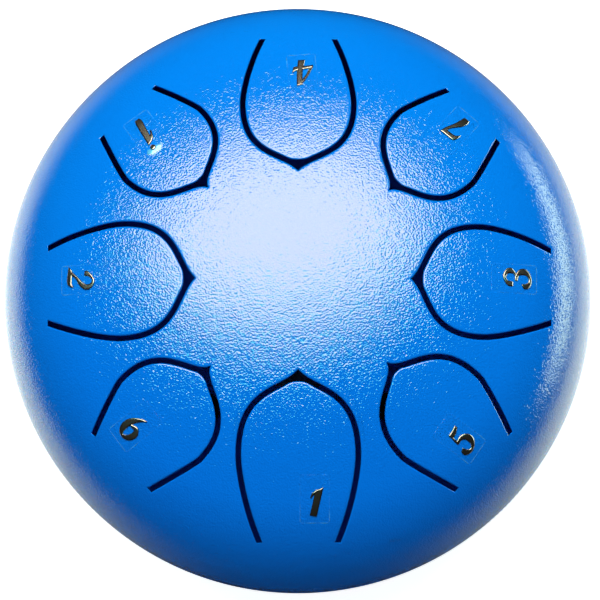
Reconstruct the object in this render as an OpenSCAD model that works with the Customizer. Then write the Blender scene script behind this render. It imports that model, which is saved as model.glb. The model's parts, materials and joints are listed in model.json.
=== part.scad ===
// Steel tongue drum. A pressed steel dome with eight cut tongues is welded at
// the rim to a shallow lower shell, which stands on four rubber feet.
// Millimetres. +Z is up, z = 0 is the floor, and tongue 1 points towards -Y.

/* [Shells] */
// Outer diameter of the drum at the seam
drum_d = 155; // [142:1:170]
// Height of the dome above the seam
dome_h = 44; // [40:0.5:48]
// Radius of the crown of the dome
crown_r = 165; // [150:5:200]
// Depth of the lower shell below the seam
base_depth = 36; // [32:0.5:42]
// Height of the straight band of each shell at the seam
band_h = 4; // [3:0.25:6]
// Thickness of the steel sheet
sheet_t = 1.2; // [0.9:0.1:1.6]

/* [Rim] */
// Height of the inner lip that centres the dome on the lower shell
lip_h = 3; // [1.5:0.25:4]
// Height of the step below the lip
step_h = 1.4; // [1:0.1:2]
// Clearance between the lip and the dome
lip_gap = 0.1; // [0.05:0.05:0.4]
// Bevel on each rim that makes the groove for the weld
rim_bevel = 0.6; // [0.3:0.05:0.8]
// How far the weld stands proud of the rims
weld_proud = 0.15; // [0.05:0.05:0.4]

/* [Tongues] */
// Distance from the edge of the drum to the root of tongue 1, seen from above
root_inset = 11.5; // [9.5:0.5:15.5]
// Length of the window of tongue 1, from its root to its point
tongue_l = 42.6; // [36:0.2:46]
// Greatest width of the window of tongue 1
tongue_w = 31.6; // [28:0.2:34]
// Width of the slot around each tongue
slot_w = 1.35; // [0.8:0.05:2]
// Distance from the point of a window to the nose of its tongue
nose_gap = 3; // [2:0.1:4]
// Gap that parts each tongue from the dome along its root line
root_gap = 0.05; // [0.02:0.01:0.1]

/* [Labels] */
// Distance from the root of a tongue to the middle of its numeral
label_in = 8.4; // [8.2:0.2:12]
// Height of a numeral
numeral_h = 7.2; // [5:0.2:7.8]
// Thickness of a numeral
numeral_t = 0.3; // [0.1:0.05:0.6]
// Width of the clear film under a numeral
film_w = 7.6; // [7.2:0.2:9]
// Length of the film, along the tongue
film_l = 12; // [11:0.2:12.4]
// Thickness of the film
film_t = 0.12; // [0.05:0.01:0.3]
// Radius of the corners of the film
film_corner_r = 0.8; // [0.3:0.1:2]
// How far the middle of the film lies inwards of the middle of the numeral
film_shift = 0.8; // [0.6:0.1:1.4]

/* [Sound hole] */
// Diameter of the round hole in the middle of the base
hole_d = 40; // [25:1:46]

/* [Feet] */
// Diameter of a rubber foot where it meets the base
foot_d = 16; // [13:0.5:18]
// Diameter of the foot at the floor
foot_tip_d = 14; // [12:0.5:16]
// Height of the foot
foot_h = 7; // [6:0.25:12]
// Distance from the foot to the edge of the flat base
foot_inset = 2; // [1:0.25:4]
// Diameter of the recess that hides the screw head
recess_d = 9.4; // [8.8:0.1:10.4]
// Depth of the recess
recess_h = 4.2; // [3.6:0.1:5]

/* [Fasteners] */
// Thread diameter of the foot screws
screw_d = 4; // [3:0.25:4.5]
// Length of the screw under its head
screw_l = 10; // [8:0.5:12]
// Diameter of the screw head
head_d = 7.5; // [6.5:0.25:8]
// Height of the screw head
head_h = 2.2; // [1.6:0.1:2.4]
// Width of the cross recess in the head
cross_w = 0.9; // [0.6:0.05:1.2]
// Length of each arm of the cross
cross_l = 4; // [3:0.2:5]
// Depth of the cross
cross_h = 1.2; // [0.6:0.1:1.4]
// Outer diameter of the washer
washer_d = 9; // [8:0.1:9.2]
// Thickness of the washer
washer_t = 0.8; // [0.5:0.1:1]
// Width of the nut across its flats
nut_w = 7; // [6.5:0.25:8]
// Height of the nut
nut_h = 3.2; // [2.4:0.1:4]
// Clearance around a screw in the foot, the washer and the base
hole_gap = 0.2; // [0.1:0.05:0.4]
// Clearance between the threads of the screw and the nut
thread_gap = 0.03; // [0.02:0.01:0.06]

/* [Hidden] */

$fn = 96;

// Angle at which the crown and the shoulder of the dome meet
crease = 1.35;
// How far a cutting shape reaches past what it cuts
cut_over = sheet_t;

drum_r = drum_d / 2;
seam_z = foot_h + base_depth;
root_r = drum_r - root_inset;

// The shoulder of the dome is an arc that leaves the band upright and meets
// the crown at the crease.
crown_z = dome_h - crown_r;
centre_rise = band_h - crown_z;
shoulder_r = (crown_r^2 - drum_r^2 - centre_rise^2) / (2 * (crown_r * cos(crease) - drum_r));
shoulder_x = drum_r - shoulder_r;
join_angle = atan2(shoulder_x, centre_rise);
fill_reach = 2 * dome_h;

// The shoulder of the lower shell takes all its depth below the band.
base_r = base_depth - band_h;
flat_r = drum_r - base_r;
foot_circle_r = flat_r - foot_inset - foot_d / 2;
foot_angles = [45, 135, 225, 315];

// Tongues 1 to 7 and high 1. The low notes are the long tongues, and low and
// high notes lie opposite one another. Angles are anticlockwise from +X.
note_angles = [-90, 180, 0, 90, -45, -135, 45, 135];
note_turns = [0.17, 0.34, -0.52, -0.15, 1.17, 0.58, -0.79, -0.58];
root_shares = [1, 0.971, 0.985, 0.973, 0.994, 0.971, 0.955, 0.95];
length_shares = [1, 0.897, 0.855, 0.865, 0.812, 0.769, 0.724, 0.71];
width_shares = [1, 0.971, 0.937, 0.943, 0.937, 0.943, 0.873, 0.877];

// The half outline of a window is two curves, point to widest place and widest
// place to root. Shares of the length, for the tongues on the axes and for
// those between: handle at the point, handle and place of the widest part,
// handle after it, handle at the root; then the width at the root as a share.
edge_shares = [
    [0.154, 0.408, 0.498, 0.111, 0.187, 0.675],
    [0.15, 0.458, 0.56, 0.06, 0.053, 0.72]
];
point_angles = [40, 17];
root_angles = [24, 22];
nose_shares = [1, 1.12];
// Where the nose of the tongue leaves the slot, as a share of the first curve
nose_start_share = 0.28;
nose_round_share = 0.55;
nose_blend_share = 0.35;
point_steps = 10;
flank_steps = 6;
nose_steps = 4;

// Places of the labels: outward and sideways shifts as shares of a numeral's
// height, and their turns. They are stuck on by hand, each a little askew.
label_shares = [
    [-0.19, 0.57], [-0.07, -0.11], [-0.1, 0.17], [-0.22, -0.14],
    [0.11, -0.06], [0.03, -0.49], [0.35, 0.03], [0.1, 0.11]
];
label_turns = [0, 0, 0, 5, 9, -8.6, 5.7, -9.5];

// Numerals, drawn in 72nds of their height. A stroke is a row of ribs across
// it, each given by its two ends as x, y, x, y, with smooth sides between.
unit = numeral_h / 72;
stroke_steps = 3;
stroke_shares = [
    [[[2, 29, 22, 36], [-13, -33, 5, -36]],
     [[8, 31, 6, 20], [-6, 23, -4, 16], [-12, 10, -8, 9]]],
    [[[-22, 9, -9, 8], [-20, 19, -8, 18], [-9, 29, -3, 25], [5, 35, 2, 28],
      [17, 31, 10, 25], [26, 22, 13, 18], [27, 11, 11, 9], [21, 1, 4, 1],
      [11, -7, -4, -6], [1, -12, -12, -14], [-8, -20, -23, -25],
      [-10, -27, -28, -30]],
     [[-34, -33, -32, -30], [-20, -35, -23, -24], [0, -37, 0, -24],
      [12, -35, 12, -24], [20, -26, 18, -19]]],
    [[[-20, 11, -8, 11], [-20, 21, -7, 18], [-12, 31, -5, 25], [4, 37, 2, 29],
      [18, 33, 10, 26], [27, 23, 13, 19], [25, 12, 12, 10], [12, 2, 4, 4]],
     [[-6, 5, -6, -1], [8, 7, 9, -4]],
     [[10, 5, 2, 1], [22, -3, 8, -5], [27, -14, 10, -14], [24, -25, 9, -23],
      [14, -33, 4, -28], [0, -38, -3, -30], [-15, -36, -9, -28],
      [-25, -28, -12, -22], [-25, -18, -13, -15], [-17, -12, -14, -12]]],
    [[[2, 34, 17, 37], [-1, 0, 14, 0], [-10, -35, 8, -36]],
     [[6, 35, 6, 25], [-12, 14, -8, 8], [-29, -14, -19, -12]],
     [[-29, -12, -29, -19], [-10, -9, -8, -18], [12, -7, 14, -18],
      [26, -1, 22, -16]]],
    [[[-12, 34, -13, 22], [0, 34, 2, 21], [18, 36, 20, 28]],
     [[-11, 31, -6, 30], [-15, 12, -9, 12], [-16, 1, -8, 2]],
     [[-12, 9, -13, 0], [2, 10, -3, 1], [13, 7, 4, -3], [22, -2, 7, -11],
      [24, -14, 7, -20], [20, -25, 3, -27], [10, -33, -2, -29],
      [-3, -37, -7, -28], [-16, -35, -11, -23], [-26, -27, -13, -18],
      [-25, -16, -14, -12]]],
    [[[10, 38, 9, 33], [-2, 32, 1, 24], [-13, 23, -4, 15], [-22, 12, -8, 5],
      [-27, 0, -10, -6], [-28, -12, -10, -17], [-24, -24, -8, -26],
      [-15, -33, -4, -29], [-3, -37, 0, -28]],
     [[-4, -37, -1, -28], [9, -34, 4, -22], [19, -26, 7, -14], [24, -14, 8, -7],
      [23, -3, 5, -2], [16, 5, 1, -2], [8, 9, -3, -3], [-2, 6, -7, -3],
      [-11, 1, -12, -3]]],
    [[[-22, 10, -20, 10], [-20, 24, -15, 17], [-13, 34, -8, 21], [5, 35, 5, 22],
      [27, 36, 23, 22]],
     [[15, 30, 25, 31], [12, 16, 22, 19], [0, 0, 15, 4], [-9, -12, 10, -9],
      [-14, -25, 6, -23], [-14, -36, 2, -36]]],
    [[[-2, 30, 14, 36], [-8, -15, 10, -18], [-10, -32, 8, -34], [-7, -41, 5, -42]],
     [[5, 31, 4, 20], [-8, 24, -5, 15], [-15, 4, -11, 4]]]
];
// Octave dot of high 1: its middle and its radius, in the same units
dot_shares = [8, 47, 7];

film_corner_steps = 4;

// Heights of the fasteners, from the floor up
washer_z = recess_h - washer_t;
head_z = washer_z - head_h;
nut_z = foot_h + sheet_t;

function quarter(angle, reach) = [reach * sin(angle), reach * cos(angle)];

function cubic(p, t) =
    (1 - t)^3 * p[0] + 3 * (1 - t)^2 * t * p[1] + 3 * (1 - t) * t^2 * p[2] + t^3 * p[3];
function cubic_course(p, t) =
    (1 - t)^2 * (p[1] - p[0]) + 2 * (1 - t) * t * (p[2] - p[1]) + t^2 * (p[3] - p[2]);
// The point at t on the curve, moved to the right of its course
function beside(p, t, gap) =
    let(course = cubic_course(p, t))
    cubic(p, t) + gap / norm(course) * [course.y, -course.x];

function kind(i) = i < 4 ? 0 : 1;
function note_angle(i) = note_angles[i] + note_turns[i];
function note_root(i) = root_r * root_shares[i];
function note_length(i) = tongue_l * length_shares[i];
function note_half(i) = tongue_w / 2 * width_shares[i];
function note_point(i) = note_root(i) - note_length(i);

// The two curves of one side of a window, from the point to the root
function point_curve(i) =
    let(s = edge_shares[kind(i)], long = note_length(i), a = point_angles[kind(i)],
        tip = [note_point(i), 0], wide = [tip.x + s[2] * long, note_half(i)])
    [tip, tip + s[0] * long * [cos(a), sin(a)], wide - [s[1] * long, 0], wide];
function flank_curve(i) =
    let(s = edge_shares[kind(i)], long = note_length(i), a = root_angles[kind(i)],
        wide = point_curve(i)[3], end = [note_root(i), s[5] * note_half(i)])
    [wide, wide + [s[3] * long, 0], end + s[4] * long * [-cos(a), sin(a)], end];

function mirrored(side) =
    concat(side, [for (k = [len(side) - 1 : -1 : 0]) if (side[k].y > 0) [side[k].x, -side[k].y]]);

function window_outline(i) = mirrored(concat(
    [for (k = [0 : point_steps]) cubic(point_curve(i), k / point_steps)],
    [for (k = [1 : flank_steps]) cubic(flank_curve(i), k / flank_steps)]
));

// The side of a tongue runs beside the window's at the width of the slot. Its
// nose is a round curve, so the slot widens at the window's point.
function side_share(k) = nose_start_share + (1 - nose_start_share) * k / point_steps;
function nose_curve(i) =
    let(edge = point_curve(i), t = nose_start_share,
        nose = [note_point(i) + nose_gap * nose_shares[kind(i)], 0],
        joint = beside(edge, t, slot_w), course = cubic_course(edge, t),
        blend = nose_blend_share * norm(joint - nose) / norm(course))
    [nose, nose + [0, nose_round_share * joint.y], joint - blend * course, joint];
// The last point of the side, drawn back along it to the root line
function root_corner(i) =
    let(edge = flank_curve(i), course = cubic_course(edge, 1),
        end = beside(edge, 1, slot_w), back = end.x - note_root(i) + root_gap)
    end - back * [1, course.y / course.x];

function tongue_outline(i) = mirrored(concat(
    [for (k = [0 : nose_steps - 1]) cubic(nose_curve(i), k / nose_steps)],
    [for (k = [0 : point_steps]) beside(point_curve(i), side_share(k), slot_w)],
    [for (k = [1 : flank_steps - 1]) beside(flank_curve(i), k / flank_steps, slot_w)],
    [root_corner(i)]
));

// Smooth curve through a row of points, at t between points k and k + 1
function smooth(p, k, t) =
    let(a = p[max(k - 1, 0)], b = p[k], c = p[k + 1], d = p[min(k + 2, len(p) - 1)])
    0.5 * (2 * b + (c - a) * t + (2 * a - 5 * b + 4 * c - d) * t^2 + (3 * b - a - 3 * c + d) * t^3);
function smooth_row(p) = concat(
    [for (k = [0 : len(p) - 2], n = [0 : stroke_steps - 1]) smooth(p, k, n / stroke_steps)],
    [p[len(p) - 1]]
);
function reversed(p) = [for (k = [len(p) - 1 : -1 : 0]) p[k]];
function stroke_outline(ribs) = concat(
    smooth_row([for (rib = ribs) unit * [rib[0], rib[1]]]),
    reversed(smooth_row([for (rib = ribs) unit * [rib[2], rib[3]]]))
);

function film_outline() =
    let(x = film_w / 2 - film_corner_r, y = film_l / 2 - film_corner_r,
        corners = [[x, y], [-x, y], [-x, -y], [x, -y]])
    [for (q = [0 : 3], k = [0 : film_corner_steps])
        let(a = 90 * (q + k / film_corner_steps))
        corners[q] + film_corner_r * [cos(a), sin(a)]];

// Half section of the filled dome, from the seam up, set in by an inset. A
// negative inset gives the surface of something that lies on the dome.
module dome_area(inset) {
    intersection() {
        translate([0, crown_z]) circle(r = crown_r - inset);
        union() {
            square([drum_r - inset, band_h]);
            intersection() {
                translate([shoulder_x, band_h]) circle(r = shoulder_r - inset);
                translate([shoulder_x, band_h]) square(fill_reach);
            }
            polygon([
                [0, 0],
                [shoulder_x, 0],
                [shoulder_x, band_h],
                [shoulder_x, band_h] + quarter(join_angle, fill_reach),
                [0, band_h + fill_reach * cos(join_angle)]
            ]);
        }
    }
}

// Half section of the filled lower shell, from the seam down
module base_area(inset) {
    mirror([0, 1]) {
        square([drum_r - inset, band_h]);
        intersection() {
            translate([flat_r, band_h]) circle(r = base_r - inset);
            translate([flat_r, band_h]) square(fill_reach);
        }
        square([flat_r, base_depth - inset]);
    }
}

// A layer that follows the dome, between two heights above its face
module dome_layer(low, high) {
    translate([0, 0, seam_z]) rotate_extrude() difference() {
        dome_area(-high);
        dome_area(-low);
        translate([0, -cut_over]) square([drum_r + low, 2 * cut_over]);
    }
}

module on_note(i) {
    rotate([0, 0, note_angle(i)]) children();
}

// Puts a flat drawing, upright to the reader at the rim, at a label's place
module at_label(i) {
    out = note_root(i) - label_in + numeral_h * label_shares[i][0];
    on_note(i) translate([out, numeral_h * label_shares[i][1], seam_z])
        rotate([0, 0, 90 + label_turns[i]]) children();
}

module rim_cut(side) {
    polygon([
        [drum_r - rim_bevel, 0],
        [drum_r + rim_bevel, side * 2 * rim_bevel],
        [drum_r + rim_bevel, -side * cut_over],
        [drum_r - rim_bevel, -side * cut_over]
    ]);
}

module top_shell() {
    color("dodgerblue") difference() {
        dome_layer(-sheet_t, 0);
        translate([0, 0, seam_z]) rotate_extrude() rim_cut(1);
        for (i = [0 : 7])
            on_note(i) translate([0, 0, seam_z])
                linear_extrude(height = dome_h + cut_over) polygon(window_outline(i));
    }
}

module tongue(i) {
    color("deepskyblue") intersection() {
        dome_layer(-sheet_t, 0);
        on_note(i) translate([0, 0, seam_z])
            linear_extrude(height = dome_h + cut_over) polygon(tongue_outline(i));
    }
}

module tongue_1() { tongue(0); }
module tongue_2() { tongue(1); }
module tongue_3() { tongue(2); }
module tongue_4() { tongue(3); }
module tongue_5() { tongue(4); }
module tongue_6() { tongue(5); }
module tongue_7() { tongue(6); }
module tongue_high_1() { tongue(7); }

module film(i) {
    color("lightcyan") intersection() {
        dome_layer(0, film_t);
        at_label(i) translate([0, film_shift])
            linear_extrude(height = dome_h + cut_over) polygon(film_outline());
    }
}

module film_1() { film(0); }
module film_2() { film(1); }
module film_3() { film(2); }
module film_4() { film(3); }
module film_5() { film(4); }
module film_6() { film(5); }
module film_7() { film(6); }
module film_high_1() { film(7); }

module numeral(i) {
    color("darkgoldenrod") intersection() {
        dome_layer(film_t, film_t + numeral_t);
        at_label(i) {
            for (ribs = stroke_shares[i])
                linear_extrude(height = dome_h + cut_over) polygon(stroke_outline(ribs));
            if (i == 7)
                translate([unit * dot_shares[0], unit * dot_shares[1], 0])
                    cylinder(h = dome_h + cut_over, r = unit * dot_shares[2]);
        }
    }
}

module numeral_1() { numeral(0); }
module numeral_2() { numeral(1); }
module numeral_3() { numeral(2); }
module numeral_4() { numeral(3); }
module numeral_5() { numeral(4); }
module numeral_6() { numeral(5); }
module numeral_7() { numeral(6); }
module numeral_high_1() { numeral(7); }

module bottom_section() {
    lip_out = drum_r - sheet_t - lip_gap;
    lip_in = lip_out - sheet_t;
    difference() {
        union() {
            difference() {
                base_area(0);
                base_area(sheet_t);
                translate([0, -band_h]) square([drum_r - sheet_t, band_h + cut_over]);
            }
            translate([lip_in, -step_h]) square([drum_r - lip_in, step_h]);
            translate([lip_in, -step_h]) square([sheet_t, step_h + lip_h]);
        }
        rim_cut(-1);
    }
}

module bottom_shell() {
    color("royalblue") difference() {
        translate([0, 0, seam_z]) rotate_extrude() bottom_section();
        translate([0, 0, foot_h - cut_over]) cylinder(h = sheet_t + 2 * cut_over, d = hole_d);
        at_feet() translate([0, 0, foot_h - cut_over])
            cylinder(h = sheet_t + 2 * cut_over, d = screw_d + 2 * hole_gap);
    }
}

// Ring of weld that fills the groove between the bevelled rims
module seam_weld() {
    color("steelblue") translate([0, 0, seam_z]) rotate_extrude() polygon([
        [drum_r - rim_bevel, 0],
        [drum_r, -rim_bevel],
        [drum_r + weld_proud, -rim_bevel / 2],
        [drum_r + weld_proud, rim_bevel / 2],
        [drum_r, rim_bevel]
    ]);
}

module at_foot(angle) {
    rotate([0, 0, angle]) translate([foot_circle_r, 0, 0]) children();
}

module at_feet() {
    for (angle = foot_angles) at_foot(angle) children();
}

module foot(angle) {
    color("dimgray") at_foot(angle) difference() {
        cylinder(h = foot_h, d1 = foot_tip_d, d2 = foot_d);
        translate([0, 0, -cut_over]) cylinder(h = recess_h + cut_over, d = recess_d);
        cylinder(h = foot_h + cut_over, d = screw_d + 2 * hole_gap);
    }
}

module foot_1() { foot(foot_angles[0]); }
module foot_2() { foot(foot_angles[1]); }
module foot_3() { foot(foot_angles[2]); }
module foot_4() { foot(foot_angles[3]); }

module foot_screws() {
    color("silver") at_feet() difference() {
        union() {
            translate([0, 0, head_z]) cylinder(h = head_h, d = head_d);
            translate([0, 0, washer_z]) cylinder(h = screw_l, d = screw_d);
        }
        for (turn = [0, 90])
            rotate([0, 0, turn]) translate([-cross_l / 2, -cross_w / 2, head_z - cut_over])
                cube([cross_l, cross_w, cross_h + cut_over]);
    }
}

module foot_washers() {
    color("gainsboro") at_feet() translate([0, 0, washer_z]) difference() {
        cylinder(h = washer_t, d = washer_d);
        translate([0, 0, -cut_over]) cylinder(h = washer_t + 2 * cut_over, d = screw_d + 2 * hole_gap);
    }
}

module foot_nuts() {
    color("lightgray") at_feet() translate([0, 0, nut_z]) difference() {
        cylinder(h = nut_h, d = nut_w / cos(30), $fn = 6);
        translate([0, 0, -cut_over]) cylinder(h = nut_h + 2 * cut_over, d = screw_d + 2 * thread_gap);
    }
}

top_shell();
bottom_shell();
seam_weld();
tongue_1();
tongue_2();
tongue_3();
tongue_4();
tongue_5();
tongue_6();
tongue_7();
tongue_high_1();
film_1();
film_2();
film_3();
film_4();
film_5();
film_6();
film_7();
film_high_1();
numeral_1();
numeral_2();
numeral_3();
numeral_4();
numeral_5();
numeral_6();
numeral_7();
numeral_high_1();
foot_1();
foot_2();
foot_3();
foot_4();
foot_screws();
foot_washers();
foot_nuts();
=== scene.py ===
import json
import math

import bmesh
import bpy
import numpy as np
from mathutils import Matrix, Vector


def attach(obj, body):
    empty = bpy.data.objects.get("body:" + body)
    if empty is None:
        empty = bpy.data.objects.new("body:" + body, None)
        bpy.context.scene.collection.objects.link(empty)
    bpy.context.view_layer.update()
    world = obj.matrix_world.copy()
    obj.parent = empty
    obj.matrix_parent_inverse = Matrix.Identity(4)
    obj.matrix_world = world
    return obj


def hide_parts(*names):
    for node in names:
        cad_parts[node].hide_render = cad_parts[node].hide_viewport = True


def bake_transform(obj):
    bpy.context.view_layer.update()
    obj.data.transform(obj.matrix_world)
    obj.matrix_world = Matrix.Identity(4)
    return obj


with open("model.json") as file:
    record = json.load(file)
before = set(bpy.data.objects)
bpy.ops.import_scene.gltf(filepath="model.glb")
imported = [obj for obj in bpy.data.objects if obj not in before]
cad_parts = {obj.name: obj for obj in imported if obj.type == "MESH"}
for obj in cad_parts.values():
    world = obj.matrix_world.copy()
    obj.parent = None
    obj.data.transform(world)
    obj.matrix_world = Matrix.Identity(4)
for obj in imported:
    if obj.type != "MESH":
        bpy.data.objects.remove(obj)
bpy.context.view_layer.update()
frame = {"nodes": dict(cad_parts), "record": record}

# Steel tongue drum. Lengths of the pieces are millimetres, as on a drawing, and
# become metres when a mesh is made. z = 0 is the floor, and tongue 1 is at -Y.

millimetre = 0.001         # of a metre
mergeWithin = 2e-6         # metres: points that lie closer than this become one
sliverWithin = 1e-7

drum = {
    "radius": 77.5,        # outside, at the seam
    "seam": 43.0,          # height of the seam above the floor
    "band": 4.0,           # upright band above and below the seam
    "crownRadius": 165.0,
    "crownCentre": -78.0,  # height of the middle of the crown's sphere
    "sheet": 1.2,
    "rimBevel": 0.6,       # on both rims, where the weld lies
    "columns": 384,        # points round the shells
}
rise = drum["seam"] + drum["band"] - drum["crownCentre"]
drum["shoulderRadius"] = (drum["crownRadius"] ** 2 - drum["radius"] ** 2 - rise ** 2) / (
    2 * (drum["crownRadius"] - drum["radius"]))
drum["shoulderCentre"] = drum["radius"] - drum["shoulderRadius"]


# Mesh tools

def domeHeight(x, y, inset=0.0):
    # Height of the dome's skin, or of the face that lies inset below it. The crown
    # is a sphere, zc + sqrt(R^2 - r^2). Past the line where both share a tangent
    # the shoulder is an arc round the circle r = c, zs + sqrt(q^2 - (r - c)^2).
    r = np.hypot(x, y)
    crown = drum["crownRadius"] - inset
    shoulder = drum["shoulderRadius"] - inset
    join = crown * drum["shoulderCentre"] / (drum["crownRadius"] - drum["shoulderRadius"])
    high = drum["crownCentre"] + np.sqrt(np.maximum(crown ** 2 - r ** 2, 0))
    low = drum["seam"] + drum["band"] + np.sqrt(
        np.maximum(shoulder ** 2 - (r - drum["shoulderCentre"]) ** 2, 0))
    return np.where(r < join, high, low)


def gridQuads(rows, columns, closed=False, start=0):
    # Quad (i, j) joins the points (i, j), (i, j + 1), (i + 1, j + 1) and (i + 1, j).
    # A closed grid also joins its last column to its first.
    i = np.arange(rows - 1)[:, None] * columns
    j = np.arange(columns if closed else columns - 1)[None, :]
    k = (j + 1) % columns
    return np.stack([i + j, i + k, i + columns + k, i + columns + j], -1).reshape(-1, 4) + start


def makePiece(name, grids, sharp=35.0, values=None, label="depth"):
    # grids is a list of pairs: points as rows x columns x 3, and whether they close
    # round the columns. values gives each point a number, which a material reads by
    # label. Points that meet are merged, so seams and poles close, and faces turn outwards.
    points, quads, marks, start = [], [], [], 0
    for number, (grid, closed) in enumerate(grids):
        rows, columns = grid.shape[:2]
        points.append(grid.reshape(-1, 3))
        quads.append(gridQuads(rows, columns, closed, start))
        if values is not None:
            spread = np.asarray(values[number], float) + np.zeros((rows, columns))
            marks.append(spread.reshape(-1))
        start += rows * columns
    points = np.concatenate(points) * millimetre
    quads = np.concatenate(quads)
    mesh = bpy.data.meshes.new(name)
    mesh.vertices.add(len(points))
    mesh.vertices.foreach_set("co", points.ravel())
    mesh.loops.add(quads.size)
    mesh.loops.foreach_set("vertex_index", quads.ravel().astype(np.int32))
    mesh.polygons.add(len(quads))
    mesh.polygons.foreach_set("loop_start", np.arange(0, quads.size, 4, dtype=np.int32))
    if values is not None:
        mark = mesh.attributes.new(label, "FLOAT", "POINT")
        mark.data.foreach_set("value", np.concatenate(marks))
    mesh.update(calc_edges=True)
    work = bmesh.new()
    work.from_mesh(mesh)
    bmesh.ops.remove_doubles(work, verts=work.verts, dist=mergeWithin)
    bmesh.ops.dissolve_degenerate(work, edges=work.edges, dist=sliverWithin)
    bmesh.ops.recalc_face_normals(work, faces=work.faces)
    work.to_mesh(mesh)
    work.free()
    mesh.polygons.foreach_set("use_smooth", np.ones(len(mesh.polygons), bool))
    mesh.set_sharp_from_angle(angle=math.radians(sharp))
    piece = bpy.data.objects.new(name, mesh)
    bpy.context.collection.objects.link(piece)
    return piece


def revolve(section, columns, angle=0.0):
    # Each (r, z) of a section goes round the axis in even steps: x = r cos a, y = r sin a
    section = np.asarray(section, float)
    a = math.radians(angle) + np.arange(columns) * 2 * np.pi / columns
    r, z = section[:, 0, None], section[:, 1, None]
    return np.stack([r * np.cos(a), r * np.sin(a), z + 0 * a], -1)


def arc(centre, radius, start, end, steps):
    # Centre plus radius times (cos a, sin a), with a in even steps of degrees
    # from +r towards +z
    a = np.radians(np.linspace(start, end, steps + 1))
    return np.column_stack([centre[0] + radius * np.cos(a), centre[1] + radius * np.sin(a)])


def straight(a, b, steps):
    # Even steps from a to b: (1 - t) a + t b
    t = np.linspace(0, 1, steps + 1)[:, None]
    return np.asarray(a, float) * (1 - t) + np.asarray(b, float) * t


def chain(*runs):
    # Runs of a section end to end, without the point that each shares with the last
    return np.vstack([runs[0]] + [run[1:] for run in runs[1:]])


def turned(points, degrees):
    # Turns points about the drum's axis: x cos a - y sin a, x sin a + y cos a
    a = math.radians(degrees)
    x, y = points[..., 0].copy(), points[..., 1].copy()
    out = np.array(points, float)
    out[..., 0] = x * math.cos(a) - y * math.sin(a)
    out[..., 1] = x * math.sin(a) + y * math.cos(a)
    return out


def smoothStep(t):
    # 3 t^2 - 2 t^3, which leaves 0 and reaches 1 level, and stays there outside
    t = np.clip(t, 0, 1)
    return t * t * (3 - 2 * t)


def crowdEnds(p):
    # Even shares made to crowd at both ends: (1 - cos(pi p)) / 2
    return 0.5 - 0.5 * np.cos(np.pi * p)


# Outlines of windows and tongues

tongues = {
    "names": ["1", "2", "3", "4", "5", "6", "7", "high_1"],
    "sectors": [-90, 180, 0, 90, -45, -135, 45, 135],                 # degrees
    "turns": [0.17, 0.34, -0.52, -0.15, 1.17, 0.58, -0.79, -0.58],    # off the middle of its sector
    "root": 66.0,          # radius of tongue 1's root line, of which each tongue has a share
    "rootShares": [1, 0.971, 0.985, 0.973, 0.994, 0.971, 0.955, 0.95],
    "length": 42.6,        # of tongue 1's window, from its root to its point
    "lengthShares": [1, 0.897, 0.855, 0.865, 0.812, 0.769, 0.724, 0.71],
    "width": 31.6,         # of tongue 1's window at its widest
    "widthShares": [1, 0.971, 0.937, 0.943, 0.937, 0.943, 0.873, 0.877],
    "slot": 1.35,
    "noseGap": 3.0,        # from the point of the window to the nose of the tongue
    "noseStart": 0.28,     # where on the window's first curve the nose curve begins
    "noseRound": 0.55, "noseBlend": 0.35,
    "edgeRound": 0.45,     # powder rounds the cut edges over about this much
    "rootFade": 1.6,       # the rounding runs out over this length at the root
    "hingeLength": 9.0,    # a struck tongue bends over this length from its root
    "rows": 96, "noseCrowd": 1.25, "roundRows": 5,
}
highOne = tongues["names"].index("high_1")

# The windows of tongues 1 to 4 are of the first kind and those of 5 to high 1 of
# the second. Pulls and places are shares of the window's length, rootWidth is a
# share of its half width, and angles are degrees off its middle line.
windowKinds = [
    {"pointPull": 0.154, "pointAngle": 40, "widePull": 0.408, "widePlace": 0.498,
     "flankPull": 0.111, "rootPull": 0.187, "rootAngle": 24, "rootWidth": 0.675, "noseShare": 1},
    {"pointPull": 0.15, "pointAngle": 17, "widePull": 0.458, "widePlace": 0.56,
     "flankPull": 0.06, "rootPull": 0.053, "rootAngle": 22, "rootWidth": 0.72, "noseShare": 1.12},
]
wallShares = np.array([0, 0.25, 0.5, 1])[:, None]      # rows down a cut side of the sheet


def windowKind(i):
    # The first kind below index 4, the second from there on
    return windowKinds[0 if i < 4 else 1]


def rootRadius(i):
    # Tongue 1's root radius times this tongue's share of it
    return tongues["root"] * tongues["rootShares"][i]


def tongueAngle(i):
    # The middle of its sector plus its own small turn
    return tongues["sectors"][i] + tongues["turns"][i]


def pieceName(kind, i):
    # film and high_1 give filmHigh1
    return kind + tongues["names"][i].title().replace("_", "")


def bezier(p, t):
    # (1 - t)^3 p0 + 3 (1 - t)^2 t p1 + 3 (1 - t) t^2 p2 + t^3 p3
    t = np.asarray(t, float)[:, None]
    s = 1 - t
    return s ** 3 * p[0] + 3 * s ** 2 * t * p[1] + 3 * s * t ** 2 * p[2] + t ** 3 * p[3]


def bezierCourse(p, t):
    # Its direction as a unit vector: the derivative over its own length
    t = np.asarray(t, float)[:, None]
    d = (1 - t) ** 2 * (p[1] - p[0]) + 2 * (1 - t) * t * (p[2] - p[1]) + t ** 2 * (p[3] - p[2])
    return d / np.linalg.norm(d, axis=1)[:, None]


def resample(path, places):
    # Points at the given shares of a path's length, straight between its points
    steps = np.r_[0, np.cumsum(np.linalg.norm(np.diff(path, axis=0), axis=1))]
    at = np.asarray(places) * steps[-1]
    return np.column_stack([np.interp(at, steps, path[:, k]) for k in range(2)])


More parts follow.
